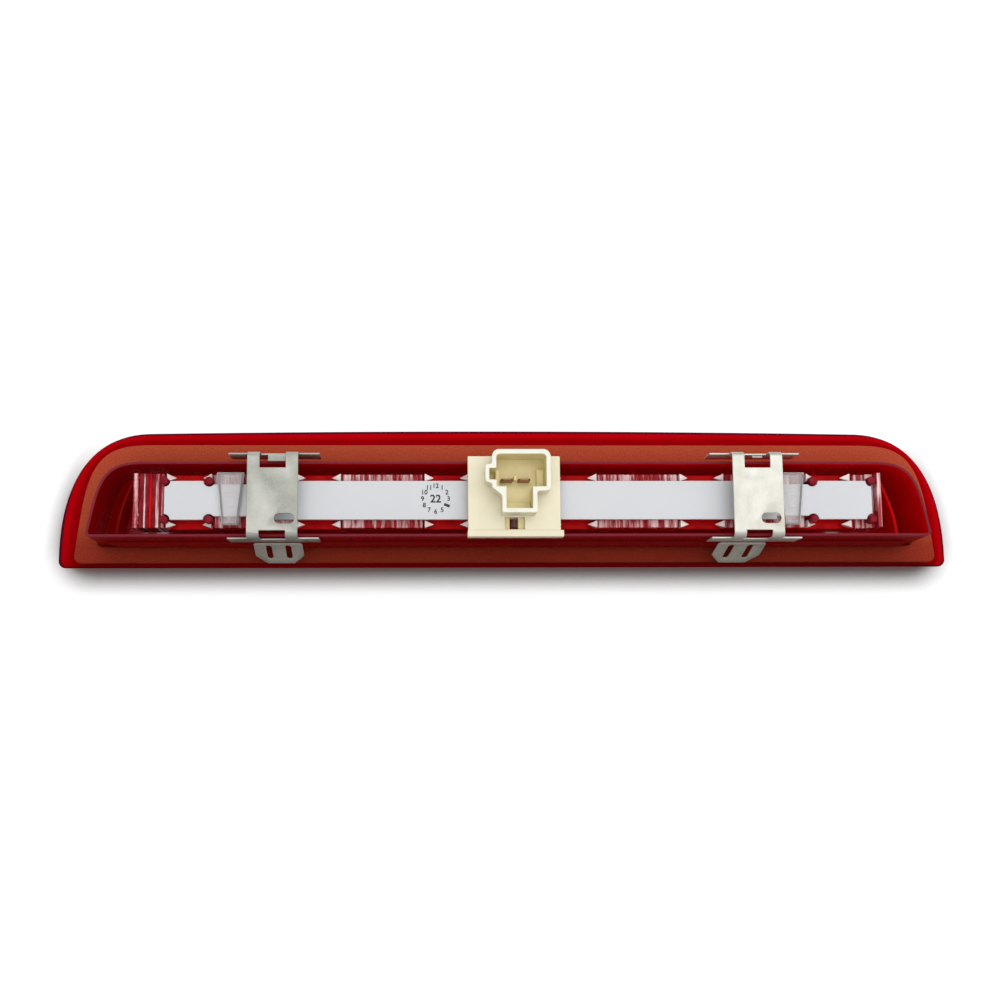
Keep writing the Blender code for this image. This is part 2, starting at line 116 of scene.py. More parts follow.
def area_light(name, place, target, size, energy):
    data = bpy.data.lights.new(name, "AREA")
    data.shape = "RECTANGLE"
    data.size, data.size_y = size
    data.energy = energy
    lamp = bpy.data.objects.new(name, data)
    lamp.location = place
    lamp.rotation_euler = (Vector(target) - Vector(place)).to_track_quat("-Z", "Y").to_euler()
    bpy.context.scene.collection.objects.link(lamp)


def one_sided_white(name, pale_tone, glow):
    """Pale matt sheet seen only from its lit side; its soft glow fades low down, close to the lamp, as a
    painted shadow.
    """

    def ranged(value, start, stop):
        node = nodes.new("ShaderNodeMapRange")
        for key, number in (("From Min", start), ("From Max", stop), ("To Min", 0.0), ("To Max", glow)):
            node.inputs[key].default_value = number
        links.new(value, node.inputs["Value"])
        return node.outputs["Result"]

    mat = bpy.data.materials.new(name)
    mat.use_nodes = True
    nodes = mat.node_tree.nodes
    links = mat.node_tree.links
    nodes.remove(nodes["Principled BSDF"])
    output = nodes["Material Output"]
    geometry = nodes.new("ShaderNodeNewGeometry")
    pale = nodes.new("ShaderNodeBsdfDiffuse")
    pale.inputs["Color"].default_value = (pale_tone, pale_tone, pale_tone, 1.0)
    nearby = nodes.new("ShaderNodeAmbientOcclusion")
    nearby.inputs["Distance"].default_value = CONTACT_REACH
    split = nodes.new("ShaderNodeSeparateXYZ")
    links.new(nodes.new("ShaderNodeTexCoord").outputs["Object"], split.inputs[0])
    # Painted shadow: the glow dims where ambient occlusion finds the lamp close by, but stays full high up.
    stronger = nodes.new("ShaderNodeMath")
    stronger.operation = "MAXIMUM"
    links.new(ranged(nearby.outputs["AO"], 0.6, 0.96), stronger.inputs[0])
    links.new(ranged(split.outputs["Z"], *SHADOW_TOP), stronger.inputs[1])
    panel = nodes.new("ShaderNodeEmission")
    links.new(stronger.outputs[0], panel.inputs["Strength"])
    lit = nodes.new("ShaderNodeAddShader")
    clear = nodes.new("ShaderNodeBsdfTransparent")
    mix = nodes.new("ShaderNodeMixShader")
    links.new(pale.outputs[0], lit.inputs[0])
    links.new(panel.outputs[0], lit.inputs[1])
    links.new(geometry.outputs["Backfacing"], mix.inputs["Fac"])
    links.new(lit.outputs[0], mix.inputs[1])
    links.new(clear.outputs[0], mix.inputs[2])
    links.new(mix.outputs[0], output.inputs["Surface"])
    return mat


def make_stage():
    """A floor under the lamp, and a white card behind the lens that neither lights nor shades the lamp."""
    low, high = CAD_BOX
    reach = STAGE_REACH
    corners = ((-reach, -reach), (reach, -reach), (reach, reach), (-reach, reach))
    floor = bpy.data.meshes.new("floor")
    floor.from_pydata([(x, y, low.z - STAGE_GAP) for x, y in corners], [], [(0, 1, 2, 3)])
    card = bpy.data.meshes.new("card")
    card.from_pydata([(x, high.y + STAGE_GAP, z) for x, z in corners], [], [(0, 1, 2, 3)])
    for mesh, tone, glow in ((floor, FLOOR_TONE, 0.0), (card, CARD_TONE, CARD_GLOW)):
        mesh.materials.append(one_sided_white(f"pale_{mesh.name}", tone, glow))
        obj = bpy.data.objects.new(mesh.name, mesh)
        bpy.context.scene.collection.objects.link(obj)
        obj.visible_shadow = False
        obj.visible_diffuse = mesh is floor
        obj.visible_glossy = mesh is floor


def make_light():
    area_light("key", (0.25, -0.95, 0.32), (0.0, 0.0, 0.02), (1.8, 0.9), 9.0)
    area_light("top", (-0.2, -0.15, 0.9), (0.0, 0.0, 0.0), (1.2, 0.4), 1.6)
    area_light("low_fill", (-0.1, -0.7, -0.35), (0.0, 0.0, 0.01), (0.9, 0.25), 1.2)
    bpy.context.scene.view_settings.view_transform = "Standard"


# ---------------------------------------------------------------- materials


class Recipe:
    """One procedural material: base colour, wear, roughness and grain, all from object coordinates."""

    def __init__(self, name, **fixed):
        self.mat = bpy.data.materials.new(name)
        self.mat.use_nodes = True
        self.tree = self.mat.node_tree
        self.shader = self.tree.nodes["Principled BSDF"]
        for key, value in fixed.items():
            self.shader.inputs[key.replace("_", " ")].default_value = value
        self.place = self.tree.nodes.new("ShaderNodeTexCoord").outputs["Object"]

    def noise(self, scale, detail=5.0, stretch=(1.0, 1.0, 1.0)):
        """Noise at a number of features per metre, stretched along an axis for drawn surfaces."""
        mapping = self.tree.nodes.new("ShaderNodeMapping")
        mapping.inputs["Scale"].default_value = stretch
        node = self.tree.nodes.new("ShaderNodeTexNoise")
        node.inputs["Scale"].default_value = scale
        node.inputs["Detail"].default_value = detail
        self.tree.links.new(self.place, mapping.inputs["Vector"])
        self.tree.links.new(mapping.outputs["Vector"], node.inputs["Vector"])
        return node.outputs["Fac"]

    def along(self, axis, start, stop):
        """Runs from 0 to 1 as the object coordinate goes from start to stop, in metres."""
        split = self.tree.nodes.new("ShaderNodeSeparateXYZ")
        self.tree.links.new(self.place, split.inputs[0])
        return self.ranged(split.outputs[axis], start, stop, 0.0, 1.0)

    def ranged(self, value, low, high, to_low, to_high):
        node = self.tree.nodes.new("ShaderNodeMapRange")
        for key, number in (("From Min", low), ("From Max", high), ("To Min", to_low), ("To Max", to_high)):
            node.inputs[key].default_value = number
        self.tree.links.new(value, node.inputs["Value"])
        return node.outputs["Result"]

    def blend(self, share, first, second):
        """Mixes two colours, each a constant or another output, by a share from 0 to 1."""
        node = self.tree.nodes.new("ShaderNodeMix")
        node.data_type = "RGBA"
        self.tree.links.new(share, node.inputs["Factor"])
        for socket, value in ((node.inputs[6], first), (node.inputs[7], second)):
            if isinstance(value, tuple):
                socket.default_value = (*value, 1.0)
            else:
                self.tree.links.new(value, socket)
        return node.outputs[2]

    def worn(self, color, edge_color, amount):
        """Rubbed edges: a lighter tone where the surface turns sharply."""
        geometry = self.tree.nodes.new("ShaderNodeNewGeometry")
        edges = self.ranged(geometry.outputs["Pointiness"], 0.52, 0.6, 0.0, amount)
        return self.blend(edges, color, edge_color)

    def finish(self, color, rough, grain_scale, grain, stretch=(1.0, 1.0, 1.0)):
        """Joins colour, uneven roughness and a fine bump to the shader."""
        links = self.tree.links
        links.new(color, self.shader.inputs["Base Color"])
        patches = self.ranged(self.noise(180.0, 3.0), 0.35, 0.7, rough[0], rough[1])
        links.new(patches, self.shader.inputs["Roughness"])
        bump = self.tree.nodes.new("ShaderNodeBump")
        bump.inputs["Strength"].default_value = 0.6
        bump.inputs["Distance"].default_value = grain
        links.new(self.noise(grain_scale, 6.0, stretch), bump.inputs["Height"])
        links.new(bump.outputs["Normal"], self.shader.inputs["Normal"])
        return self.mat


def mottled(name, dark, light, rough, scale=90.0, grain_scale=1400.0, grain=0.04 * MM, edge=None, **fixed):
    """The common case: two tones in soft patches, with optional rubbed edges."""
    recipe = Recipe(name, **fixed)
    color = recipe.blend(recipe.ranged(recipe.noise(scale), 0.3, 0.7, 0.0, 1.0), dark, light)
    if edge:
        color = recipe.worn(color, edge, 0.5)
    return recipe.finish(color, rough, grain_scale, grain)


# A faint glow stands for the daylight that comes through the red plastic.
RED_GLOW = {"Emission_Color": (0.6, 0.0, 0.002, 1.0), "Emission_Strength": 0.07}


def lens_material(name, **fixed):
    """Deep red acrylic: darker towards the gasket as painted shade, brighter at the outer edge, with a dark
    band of painted shade just to the rear of the widest edge.
    """
    recipe = Recipe(name, **fixed, **RED_GLOW)
    patches = recipe.ranged(recipe.noise(60.0), 0.3, 0.7, 0.0, 1.0)
    # The darker inner tone is painted shade near the gasket.
    inner = recipe.blend(patches, (0.2, 0.0, 0.001), (0.24, 0.0, 0.002))
    outer = recipe.blend(patches, (0.35, 0.0, 0.003), (0.4, 0.001, 0.004))
    color = recipe.blend(recipe.along("Y", 7.2 * MM, 9.4 * MM), inner, outer)
    # A band of painted shade for the dark edge where the skirt turns away; ahead of it the colour returns to
    # the outer tone.
    front = recipe.along("Y", 11.4 * MM, 12.0 * MM)
    color = recipe.blend(front, color, (0.05, 0.003, 0.015))
    color = recipe.blend(recipe.along("Y", 14.6 * MM, 15.0 * MM), color, outer)
    return recipe.finish(color, (0.1, 0.2), 700.0, 0.00002)


def housing_material():
    """Dark red moulding with painted shade: darker at the left end and along the bottom wall, with a painted
    purple-grey sheen on the rear rim.
    """
    recipe = Recipe("housing_red", Specular_IOR_Level=0.03, **RED_GLOW)
    patches = recipe.ranged(recipe.noise(70.0), 0.3, 0.7, 0.0, 1.0)
    # Painted shade: the left end is a darker copy of the same red, the right end lighter.
    left = recipe.blend(patches, (0.11, 0.0, 0.001), (0.15, 0.0, 0.001))
    right = recipe.blend(patches, (0.4, 0.0, 0.001), (0.5, 0.001, 0.002))
    color = recipe.blend(recipe.along("X", -0.16, 0.12), left, right)
    # Painted sheen: a purple-grey band along the rear rim stands for its highlight.
    rim = recipe.along("Y", -20.6 * MM, -20.9 * MM)
    # Painted shade: darker below the rim's bottom edge, along the bottom wall.
    color = recipe.blend(recipe.along("Z", 4.9 * MM, 4.3 * MM), color, (0.1, 0.003, 0.003))
    color = recipe.blend(rim, color, (0.14, 0.02, 0.032))
    return recipe.finish(color, (0.24, 0.42), 900.0, 0.00004)


def gasket_material():
    """Closed-cell foam, brick red, with painted shade as a darker maroon along the bottom band."""
    recipe = Recipe("foam_brick_red", Specular_IOR_Level=0.15)
    cells = recipe.ranged(recipe.noise(1500.0, 3.0), 0.3, 0.7, 0.0, 1.0)
    top = recipe.blend(cells, (0.33, 0.045, 0.018), (0.44, 0.07, 0.03))
    # The darker bottom tones are painted shade under the housing.
    bottom = recipe.blend(cells, (0.22, 0.02, 0.008), (0.31, 0.034, 0.014))
    color = recipe.blend(recipe.along("Z", 3.0 * MM, 12.0 * MM), bottom, top)
    return recipe.finish(color, (0.85, 0.97), 1800.0, 0.00022)


def steel_material(name, dark, light):
    """Galvanised spring steel with a fine drawn grain and slightly brighter rubbed edges."""
    recipe = Recipe(name, Metallic=0.8, Anisotropic=0.2)
    patches = recipe.ranged(recipe.noise(1100.0, 6.0), 0.3, 0.7, 0.0, 1.0)
    color = recipe.blend(patches, dark, light)
    color = recipe.worn(color, (0.8, 0.79, 0.75), 0.25)
    return recipe.finish(color, (0.4, 0.56), 2400.0, 0.00003, (1.0, 1.0, 6.0))


OPTIC = {"Transmission_Weight": 0.1, "IOR": 1.49, "Specular_IOR_Level": 0.14}
DULL_OPTIC = {"IOR": 1.49, "Specular_IOR_Level": 0.04}


def streaked_optic():
    """Fluted optic: pale upright bands between deep red ones, painted highlights standing for white light
    caught by the flutes.
    """
    recipe = Recipe("optic_flutes", **OPTIC)
    # Painted highlights: pale upright bands among the deep red.
    painted_highlight_bands = recipe.ranged(recipe.noise(620.0, 4.0, (1.0, 0.05, 0.09)), 0.44, 0.6, 0.0, 1.0)
    color = recipe.blend(painted_highlight_bands, (0.36, 0.02, 0.03), (0.86, 0.6, 0.6))
    return recipe.finish(color, (0.06, 0.16), 1200.0, 0.00003)


def make_materials():
    return {
        "lens": lens_material("lens_skirt_red", Specular_IOR_Level=0.0),
        "lens_front": lens_material("lens_front_red", IOR=1.49, Coat_Weight=0.5, Coat_Roughness=0.04),
        "housing": housing_material(),
        "gasket": gasket_material(),
        "optic_red": mottled(
            "optic_red", (0.4, 0.0, 0.002), (0.66, 0.004, 0.004), (0.3, 0.5), 160.0, **DULL_OPTIC
        ),
        # The clear prism plastic is painted near white as a painted reflection of the board and light.
        "optic_clear": mottled(
            "optic_clear", (0.8, 0.6, 0.6), (0.97, 0.93, 0.92), (0.05, 0.14), 260.0, **OPTIC
        ),
        "optic_pink": streaked_optic(),
        "optic_post": mottled(
            "optic_post", (0.15, 0.004, 0.01), (0.24, 0.016, 0.024), (0.3, 0.5), 300.0, **DULL_OPTIC
        ),
        "strap": mottled(
            "strap_clear", (0.97, 0.945, 0.95), (0.995, 0.98, 0.985), (0.04, 0.12),
            Transmission_Weight=0.8, IOR=1.04, Specular_IOR_Level=0.2,
        ),
        "board": mottled(
            "board_white", (0.55, 0.565, 0.585), (0.58, 0.595, 0.615), (0.36, 0.52), 45.0, 1600.0, 0.03 * MM
        ),
        "print": mottled("dial_print", (0.012, 0.012, 0.012), (0.03, 0.03, 0.03), (0.6, 0.8)),
        "ivory": mottled(
            "connector_ivory", (0.67, 0.61, 0.42), (0.72, 0.66, 0.47), (0.36, 0.55), 120.0,
            edge=(0.78, 0.73, 0.58), Subsurface_Weight=0.1, Subsurface_Scale=0.001,
        ),
        # The socket's rear face is a lighter, paler copy of the ivory: painted light on the face turned to
        # the lamps.
        "ivory_lip": mottled("socket_lip", (0.72, 0.71, 0.6), (0.78, 0.77, 0.68), (0.3, 0.45), 200.0),
        # The socket's inside is a brighter, yellower copy of the ivory: painted light coming through the
        # translucent plastic.
        "ivory_deep": mottled("socket_inside", (0.69, 0.6, 0.29), (0.77, 0.68, 0.37), (0.4, 0.55), 160.0),
        "copper": mottled(
            "terminal_copper", (0.2, 0.07, 0.03), (0.36, 0.15, 0.08), (0.25, 0.4), Metallic=0.9
        ),
        # Lit and shaded copies of one steel: the left clip darker as painted shade, the right clip and the
        # fingers lighter as painted light.
        "steel_left": steel_material("clip_steel_left", (0.285, 0.29, 0.25), (0.325, 0.33, 0.29)),
        "steel_right": steel_material("clip_steel_right", (0.46, 0.45, 0.395), (0.51, 0.5, 0.44)),
        "steel_finger": steel_material("finger_steel", (0.5, 0.49, 0.44), (0.64, 0.63, 0.57)),
        "led": mottled("led_package", (0.6, 0.6, 0.55), (0.74, 0.73, 0.66), (0.3, 0.5), 400.0),
        "black": mottled("component_black", (0.012, 0.012, 0.013), (0.03, 0.03, 0.032), (0.4, 0.6), 300.0),
        "tan": mottled("capacitor_tan", (0.3, 0.2, 0.1), (0.42, 0.29, 0.16), (0.4, 0.55), 300.0),
    }


def dress_hidden_parts(mats):
    """The small parts on the front of the board keep their CAD shapes and get their own materials."""
    kinds = (("led_", "led"), ("resistor_", "black"), ("protection_diode", "black"), ("capacitor", "tan"))
    for name, obj in NODES.items():
        for start, key in kinds:
            if name.startswith(start) and name != "led_board":
                obj.data.materials.clear()
                obj.data.materials.append(mats[key])


# ---------------------------------------------------------------- shapes


def finish_piece(name, bm, mats, nodes, body, bevel=0.0, segments=2, angle=35.0, solid=0.0):
    """Turns a mesh into a piece: materials, modifiers, the CAD node it replaces and the body it rides on."""
    mesh = bpy.data.meshes.new(name)
    bm.to_mesh(mesh)
    bm.free()
    for mat in mats:
        mesh.materials.append(mat)
    piece = bpy.data.objects.new(name, mesh)
    bpy.context.scene.collection.objects.link(piece)
    if solid:
        wall = piece.modifiers.new("wall", "SOLIDIFY")
        wall.thickness = solid
        wall.offset = -1.0
        wall.use_even_offset = True
    if bevel:
        edge = piece.modifiers.new("edge", "BEVEL")
        edge.width = bevel
        edge.segments = segments
        edge.limit_method = "ANGLE"
        edge.angle_limit = math.radians(angle)
        edge.harden_normals = False
    mesh.shade_smooth()
    mesh.set_sharp_from_angle(angle=math.radians(angle))
    if nodes:
        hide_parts(*nodes)
    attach(piece, body)
    return piece


def outline(half, low, high, corner_x, power, lean, crown, foot=3.0 * MM, inset=0.0):
    """Closed outline seen from behind: flat bottom, leaning ends, large upper corners, slight crown."""
    half, low, high = half - inset, low + inset, high - inset
    right = []
    for step in range(9):
        turn = math.radians(-90.0 + 11.25 * step)
        right.append((half - foot + foot * math.cos(turn), low + foot + foot * math.sin(turn)))
    across = half - corner_x
    rise = high - low - foot
    corner_steps = 26
    for step in range(1, corner_steps + 1):
        turn = math.radians(90.0) * step / corner_steps
        side = across * max(math.cos(turn), 0.0) ** (2.0 / power)
        up = rise * math.sin(turn) ** (2.0 / power)
        right.append((corner_x + side - lean * up, low + foot + up))
    top_x = right[-1][0]
    crown_steps = 8
    for step in range(1, crown_steps):
        x = top_x * (1.0 - step / crown_steps)
        right.append((x, high + crown * (1.0 - (x / top_x) ** 2)))
    left = [(-x, z) for x, z in reversed(right)]
    return right + [(0.0, high + crown)] + left


def add_loft(bm, rings, cap_first=False, cap_last=False, slot=0):
    """Walls through rings of (points, y), wound so that the outside faces away from the middle."""
    rows = [[bm.verts.new((x, y, z)) for x, z in points] for points, y in rings]
    count = len(rows[0])
    for row, following in zip(rows, rows[1:]):
        for index in range(count):
            after = (index + 1) % count
            face = bm.faces.new((row[index], following[index], following[after], row[after]))
            face.material_index = slot
    if cap_first:
        bm.faces.new(rows[0]).material_index = slot
    if cap_last:
        bm.faces.new(list(reversed(rows[-1]))).material_index = slot


def add_plate(bm, outer, y0, y1, holes=(), slot=0):
    """A flat (x, z) outline with holes, from y0 at the rear to y1 at the front."""
    edges = []
    for points in (outer, *holes):
        verts = [bm.verts.new((x, y0, z)) for x, z in points]
        for index, vert in enumerate(verts):
            edges.append(bm.edges.new((vert, verts[(index + 1) % len(verts)])))
    made = bmesh.ops.triangle_fill(bm, use_beauty=True, use_dissolve=False, edges=edges, normal=(0, -1, 0))
    faces = [item for item in made["geom"] if isinstance(item, bmesh.types.BMFace)]
    grown = bmesh.ops.extrude_face_region(bm, geom=faces, use_keep_orig=True)
    verts = [item for item in grown["geom"] if isinstance(item, bmesh.types.BMVert)]
    bmesh.ops.translate(bm, vec=(0, y1 - y0, 0), verts=verts)
    fresh = set(faces)
    for vert in verts:
        fresh.update(vert.link_faces)
    bmesh.ops.recalc_face_normals(bm, faces=list(fresh))
    for face in fresh:
        face.material_index = slot


def add_box(bm, x0, x1, y0, y1, z0, z1, slot=0):
    made = bmesh.ops.create_cube(bm, size=1.0)
    bmesh.ops.scale(bm, vec=(x1 - x0, y1 - y0, z1 - z0), verts=made["verts"])
    bmesh.ops.translate(bm, vec=((x0 + x1) / 2, (y0 + y1) / 2, (z0 + z1) / 2), verts=made["verts"])
    for vert in made["verts"]:
        for face in vert.link_faces:
            face.material_index = slot


def add_round(bm, x, z, profile, segments=24, slot=0):
    """A turned shape on an axis along Y, from a list of (radius, y)."""
    rings = []
    for radius, y in profile:
        points = []
        for step in range(segments):
            turn = 2.0 * math.pi * step / segments
            points.append((x + radius * math.cos(turn), z + radius * math.sin(turn)))
        rings.append((points, y))
    add_loft(bm, rings, cap_first=True, cap_last=True, slot=slot)


def scaled(points):
    return [(x * MM, z * MM) for x, z in points]


# ---------------------------------------------------------------- the lamp's dimensions

LENS_LOW, LENS_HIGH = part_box("outer_lens")
GASKET_LOW, GASKET_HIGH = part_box("gasket")
HOUSING_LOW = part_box("housing")[0]
GUIDE_LOW, GUIDE_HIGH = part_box("light_guide")
BOARD_LOW, BOARD_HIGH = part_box("led_board")
BLOCK_LOW, BLOCK_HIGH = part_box("connector_block")
LENS_CROWN = 1.2 * MM
RIM_HALF = 168.4 * MM
RIM_BOTTOM = 4.4 * MM
RIM_TOP = 34.7 * MM
FLANGE_Y = 3.4 * MM
CELL_PITCH = 51.5 * MM
CELL_HALF = 9.6 * MM
CELLS = [(index - 2.5) * CELL_PITCH for index in range(6)]


def lens_ring(y, blend, inset=0.0):
    """Lens section at depth y: blend 0 at the base beside the gasket, 1 at the widest edge."""
    base = (GASKET_HIGH.x + 1.6 * MM, GASKET_LOW.z - 0.4 * MM, GASKET_HIGH.z + 1.6 * MM, 4.0, 0.12)
    edge = (LENS_HIGH.x, LENS_LOW.z, LENS_HIGH.z - LENS_CROWN, 2.4, 0.0)
    half, low, high, power, lean = [a + (b - a) * blend for a, b in zip(base, edge)]
    corner_x = 0.145 + 0.005 * blend
    return outline(half, low, high, corner_x, power, lean, LENS_CROWN * blend, inset=inset), y


def gasket_ring(y, inset):
    return (
        outline(GASKET_HIGH.x, GASKET_LOW.z, GASKET_HIGH.z, 0.145, 4.5, 0.12, 0.0, inset=inset),
        y,
    )


def tub_ring(y, margin):
    return outline(RIM_HALF, RIM_BOTTOM, RIM_TOP, 0.144, 4.5, 0.2, 0.0, foot=2.0 * MM, inset=-margin), y


# ---------------------------------------------------------------- lens, gasket and housing


def make_lens(mats):
    """Curved skirt, a fine bonding groove just in front of the widest edge, and the bulged front."""
    rings = [
        lens_ring(5.6 * MM, 0.0, 0.5 * MM),
        lens_ring(5.8 * MM, 0.0),
        lens_ring(7.6 * MM, 0.3),
        lens_ring(9.6 * MM, 0.56),
        lens_ring(11.6 * MM, 0.77),
        lens_ring(13.4 * MM, 0.92),
        lens_ring(14.6 * MM, 0.985),
        lens_ring(15.2 * MM, 1.0),
        lens_ring(15.5 * MM, 1.0, 0.5 * MM),
        lens_ring(16.0 * MM, 1.0, 0.5 * MM),
        lens_ring(16.3 * MM, 1.0, 0.1 * MM),
    ]
    for share in (0.3, 0.5, 0.68, 0.83, 0.93, 1.0):
        turn = math.radians(90.0) * share
        y = 15.0 * MM + (LENS_HIGH.y - 15.0 * MM) * math.sin(turn)
        rings.append(lens_ring(y, 1.0, 10.0 * MM * (1.0 - math.cos(turn))))
    bm = bmesh.new()
    add_loft(bm, rings, cap_last=True)
    for face in bm.faces:
        face.material_index = int(face.calc_center_median().y > 16.2 * MM)
    finish_piece("lens_shell", bm, mats, ["outer_lens"], "root", solid=2.3 * MM, angle=50.0)


def make_gasket(mats):
    """Soft foam ring with rounded outer edges."""
    thick = GASKET_HIGH.y
    soft = 0.5 * MM
    bm = bmesh.new()
    inner_margin = 1.2 * MM
    inner = tub_ring(0.0, inner_margin)[0]
    rings = [
        (inner, thick),
        (inner, soft),
        (tub_ring(0.0, inner_margin + soft)[0], 0.0),
        gasket_ring(0.0, soft),
        gasket_ring(0.15 * MM, 0.15 * MM),
        gasket_ring(soft, 0.0),
        gasket_ring(thick - soft, 0.0),
        gasket_ring(thick, soft * 0.5),
        (inner, thick),
    ]
    add_loft(bm, rings)
    bmesh.ops.remove_doubles(bm, verts=bm.verts, dist=0.00001)
    bmesh.ops.recalc_face_normals(bm, faces=bm.faces)
    finish_piece("foam_gasket", bm, mats, ["gasket"], "root", angle=60.0)


def make_housing(mats):
    """Deep tub wall with a rounded rim, a ledge along its foot, the flange, cross ribs and end ribs."""
    bm = bmesh.new()
    rings = [
        tub_ring(HOUSING_LOW.y, 0.0),
        tub_ring(-12.0 * MM, 0.25 * MM),
        tub_ring(FLANGE_Y, 0.6 * MM),
        gasket_ring(FLANGE_Y, -0.1 * MM),
    ]
    add_loft(bm, rings)
    finish_piece("housing_tub", bm, mats, ["housing"], "root", solid=1.1 * MM, bevel=0.3 * MM, angle=38.0)

    bm = bmesh.new()
    foot = scaled([(-163.0, 3.6), (-158.0, 2.55), (162.0, 2.55), (162.0, 3.9), (-163.0, 3.9)])
    add_plate(bm, foot, -10.0 * MM, -0.4 * MM)
    for x in (-136.0, -33.0, 41.0, 129.0):
        tab = scaled([(x - 2.5, 34.6), (x + 2.5, 34.6), (x + 2.1, 35.8), (x - 2.1, 35.8)])
        add_plate(bm, tab, -12.0 * MM, -1.0 * MM)
    finish_piece("housing_foot_ledge", bm, mats, [], "root", bevel=0.25 * MM)

    bm = bmesh.new()
    for x in (-128.0, -52.0, 52.0, 128.0):
        add_box(bm, (x - 1.0) * MM, (x + 1.0) * MM, -3.6 * MM, FLANGE_Y, 4.6 * MM, 34.5 * MM)
    for side in (-1, 1):
        points = []
        for step in range(13):
            share = step / 12
            points.append((side * (151.0 + 7.5 * math.sin(share * 1.5)), 31.5 - 25.6 * share))
        back = [(x + side * 1.3, z) for x, z in reversed(points)]
        add_plate(bm, scaled(points + back), -10.0 * MM, 2.0 * MM)
    finish_piece("housing_ribs", bm, mats, [], "root", bevel=0.2 * MM)


# ---------------------------------------------------------------- clear optics


def prism(bm, x, side, z0, z1, y0, y1, slot):
    """A three-sided prism whose point is towards the cell's middle."""
    tip = x + side * 5.2 * MM
    base = x + side * 8.9 * MM
    middle = (z0 + z1) / 2
    rear = [(tip, y0 + 1.6 * MM, middle), (base, y0, z0), (base, y0, z1)]
    front = [(tip + side * 1.0 * MM, y1, middle), (base, y1, z0), (base, y1, z1)]
    verts = [bm.verts.new(point) for point in rear + front]
    faces = [
        (verts[0], verts[1], verts[2]),
        (verts[3], verts[5], verts[4]),
        (verts[0], verts[3], verts[4], verts[1]),
        (verts[1], verts[4], verts[5], verts[2]),
        (verts[2], verts[5], verts[3], verts[0]),
    ]
    made = [bm.faces.new(face) for face in faces]
    bmesh.ops.recalc_face_normals(bm, faces=made)
    for face in made:
        face.material_index = slot


def flutes(bm, x0, x1, pitch, z0, z1, y_front, y_rear, depth, slot):
    """A slab whose rear face is a row of upright ribs."""
    count = max(2, round((x1 - x0) / pitch))
    step = (x1 - x0) / count
    rows = []
    for z in (z0, z1):
        edge = [bm.verts.new((x0, y_front, z))]
        for index in range(count):
            left = x0 + index * step
            for share, rise in ((0.0, 0.0), (0.25, 0.75), (0.5, 1.0), (0.75, 0.75)):
                edge.append(bm.verts.new((left + share * step, y_rear + depth * (1.0 - rise), z)))
        edge.append(bm.verts.new((x1, y_rear + depth, z)))
        edge.append(bm.verts.new((x1, y_front, z)))
        rows.append(edge)
    size = len(rows[0])
    made = []
    for index in range(size):
        after = (index + 1) % size
        made.append(bm.faces.new((rows[0][index], rows[1][index], rows[1][after], rows[0][after])))
    made.append(bm.faces.new(rows[0]))
    made.append(bm.faces.new(list(reversed(rows[1]))))
    bmesh.ops.recalc_face_normals(bm, faces=made)
    for face in made:
        face.material_index = slot


def make_light_guide(mats):
    """Moulded optic: red bar, bright prisms at each LED cell whose white is a painted reflection, flutes
    between, ribbed ends and posts.
    """
    # bright is the prisms' slot, painted near white as reflection; pink carries painted highlight bands.
    red, bright, pink, post = range(4)
    low, high = GUIDE_LOW.z, GUIDE_HIGH.z
    rear, front = -13.0 * MM, -4.0 * MM
    bm = bmesh.new()
    add_box(bm, GUIDE_LOW.x + 12.0 * MM, GUIDE_HIGH.x - 9.0 * MM, rear, front, low, high, red)
    for x in CELLS:
        cone = [(4.0 * MM, -15.4 * MM), (10.4 * MM, front - 0.5 * MM)]
        add_round(bm, x, (low + high) / 2, cone, 32, pink)
        for z0, z1 in ((low, BOARD_LOW.z - 0.1 * MM), (BOARD_HIGH.z + 0.1 * MM, high)):
            for side in (-1, 1):
                prism(bm, x, side, z0, z1, -17.4 * MM, rear, bright)
    for x0, x1 in zip(CELLS, CELLS[1:]):
        span = (x0 + CELL_HALF, x1 - CELL_HALF)
        flutes(bm, *span, 1.9 * MM, low + 0.2 * MM, high - 0.2 * MM, rear, -16.2 * MM, 0.7 * MM, pink)
    left = GUIDE_LOW.x
    add_box(bm, left + 0.3 * MM, left + 2.3 * MM, GUIDE_LOW.y + 2.2 * MM, front, low, high, pink)
    for share in (0.09, 0.24, 0.5, 0.6, 0.77, 0.92):
        z = low + (high - low) * share
        top = GUIDE_LOW.y + 1.8 * MM
        bump = [(0.5 * MM, top), (1.2 * MM, top + 0.3 * MM), (1.3 * MM, front)]
        add_round(bm, left + 1.35 * MM, z, bump, 16, pink)
    for x, width, slot in (
        (2.6, 1.7, post), (4.4, 0.7, pink), (5.2, 1.3, post), (6.6, 0.9, red), (7.6, 1.4, post),
        (9.1, 1.3, pink), (10.5, 0.8, post), (11.4, 1.1, pink),
    ):
        x0 = left + x * MM
        add_box(bm, x0, x0 + width * MM, -17.6 * MM, front, low + 0.1 * MM, high - 0.1 * MM, slot)
    right = GUIDE_HIGH.x
    add_box(bm, right - 1.6 * MM, right, GUIDE_LOW.y + 1.3 * MM, front, low, high, pink)
    add_box(bm, right - 5.2 * MM, right - 1.7 * MM, -15.6 * MM, front, low, high, pink)
    add_box(bm, right - 9.5 * MM, right - 5.3 * MM, -14.6 * MM, front, low, high, pink)
    span = (CELLS[5] + CELL_HALF, right - 12.0 * MM)
    flutes(bm, *span, 1.0 * MM, low, high, rear, -16.4 * MM, 0.4 * MM, pink)
    for x in (BOARD_LOW.x, -120.5 * MM, 121.7 * MM, BOARD_HIGH.x):
        for z in (BOARD_LOW.z, BOARD_HIGH.z):
            top = GUIDE_LOW.y
            add_round(bm, x, z, [(1.2 * MM, top), (1.6 * MM, top + 0.4 * MM), (1.7 * MM, rear)], 24, post)
    finish_piece("optic_bar", bm, mats, ["light_guide"], "root", bevel=0.12 * MM, segments=1)


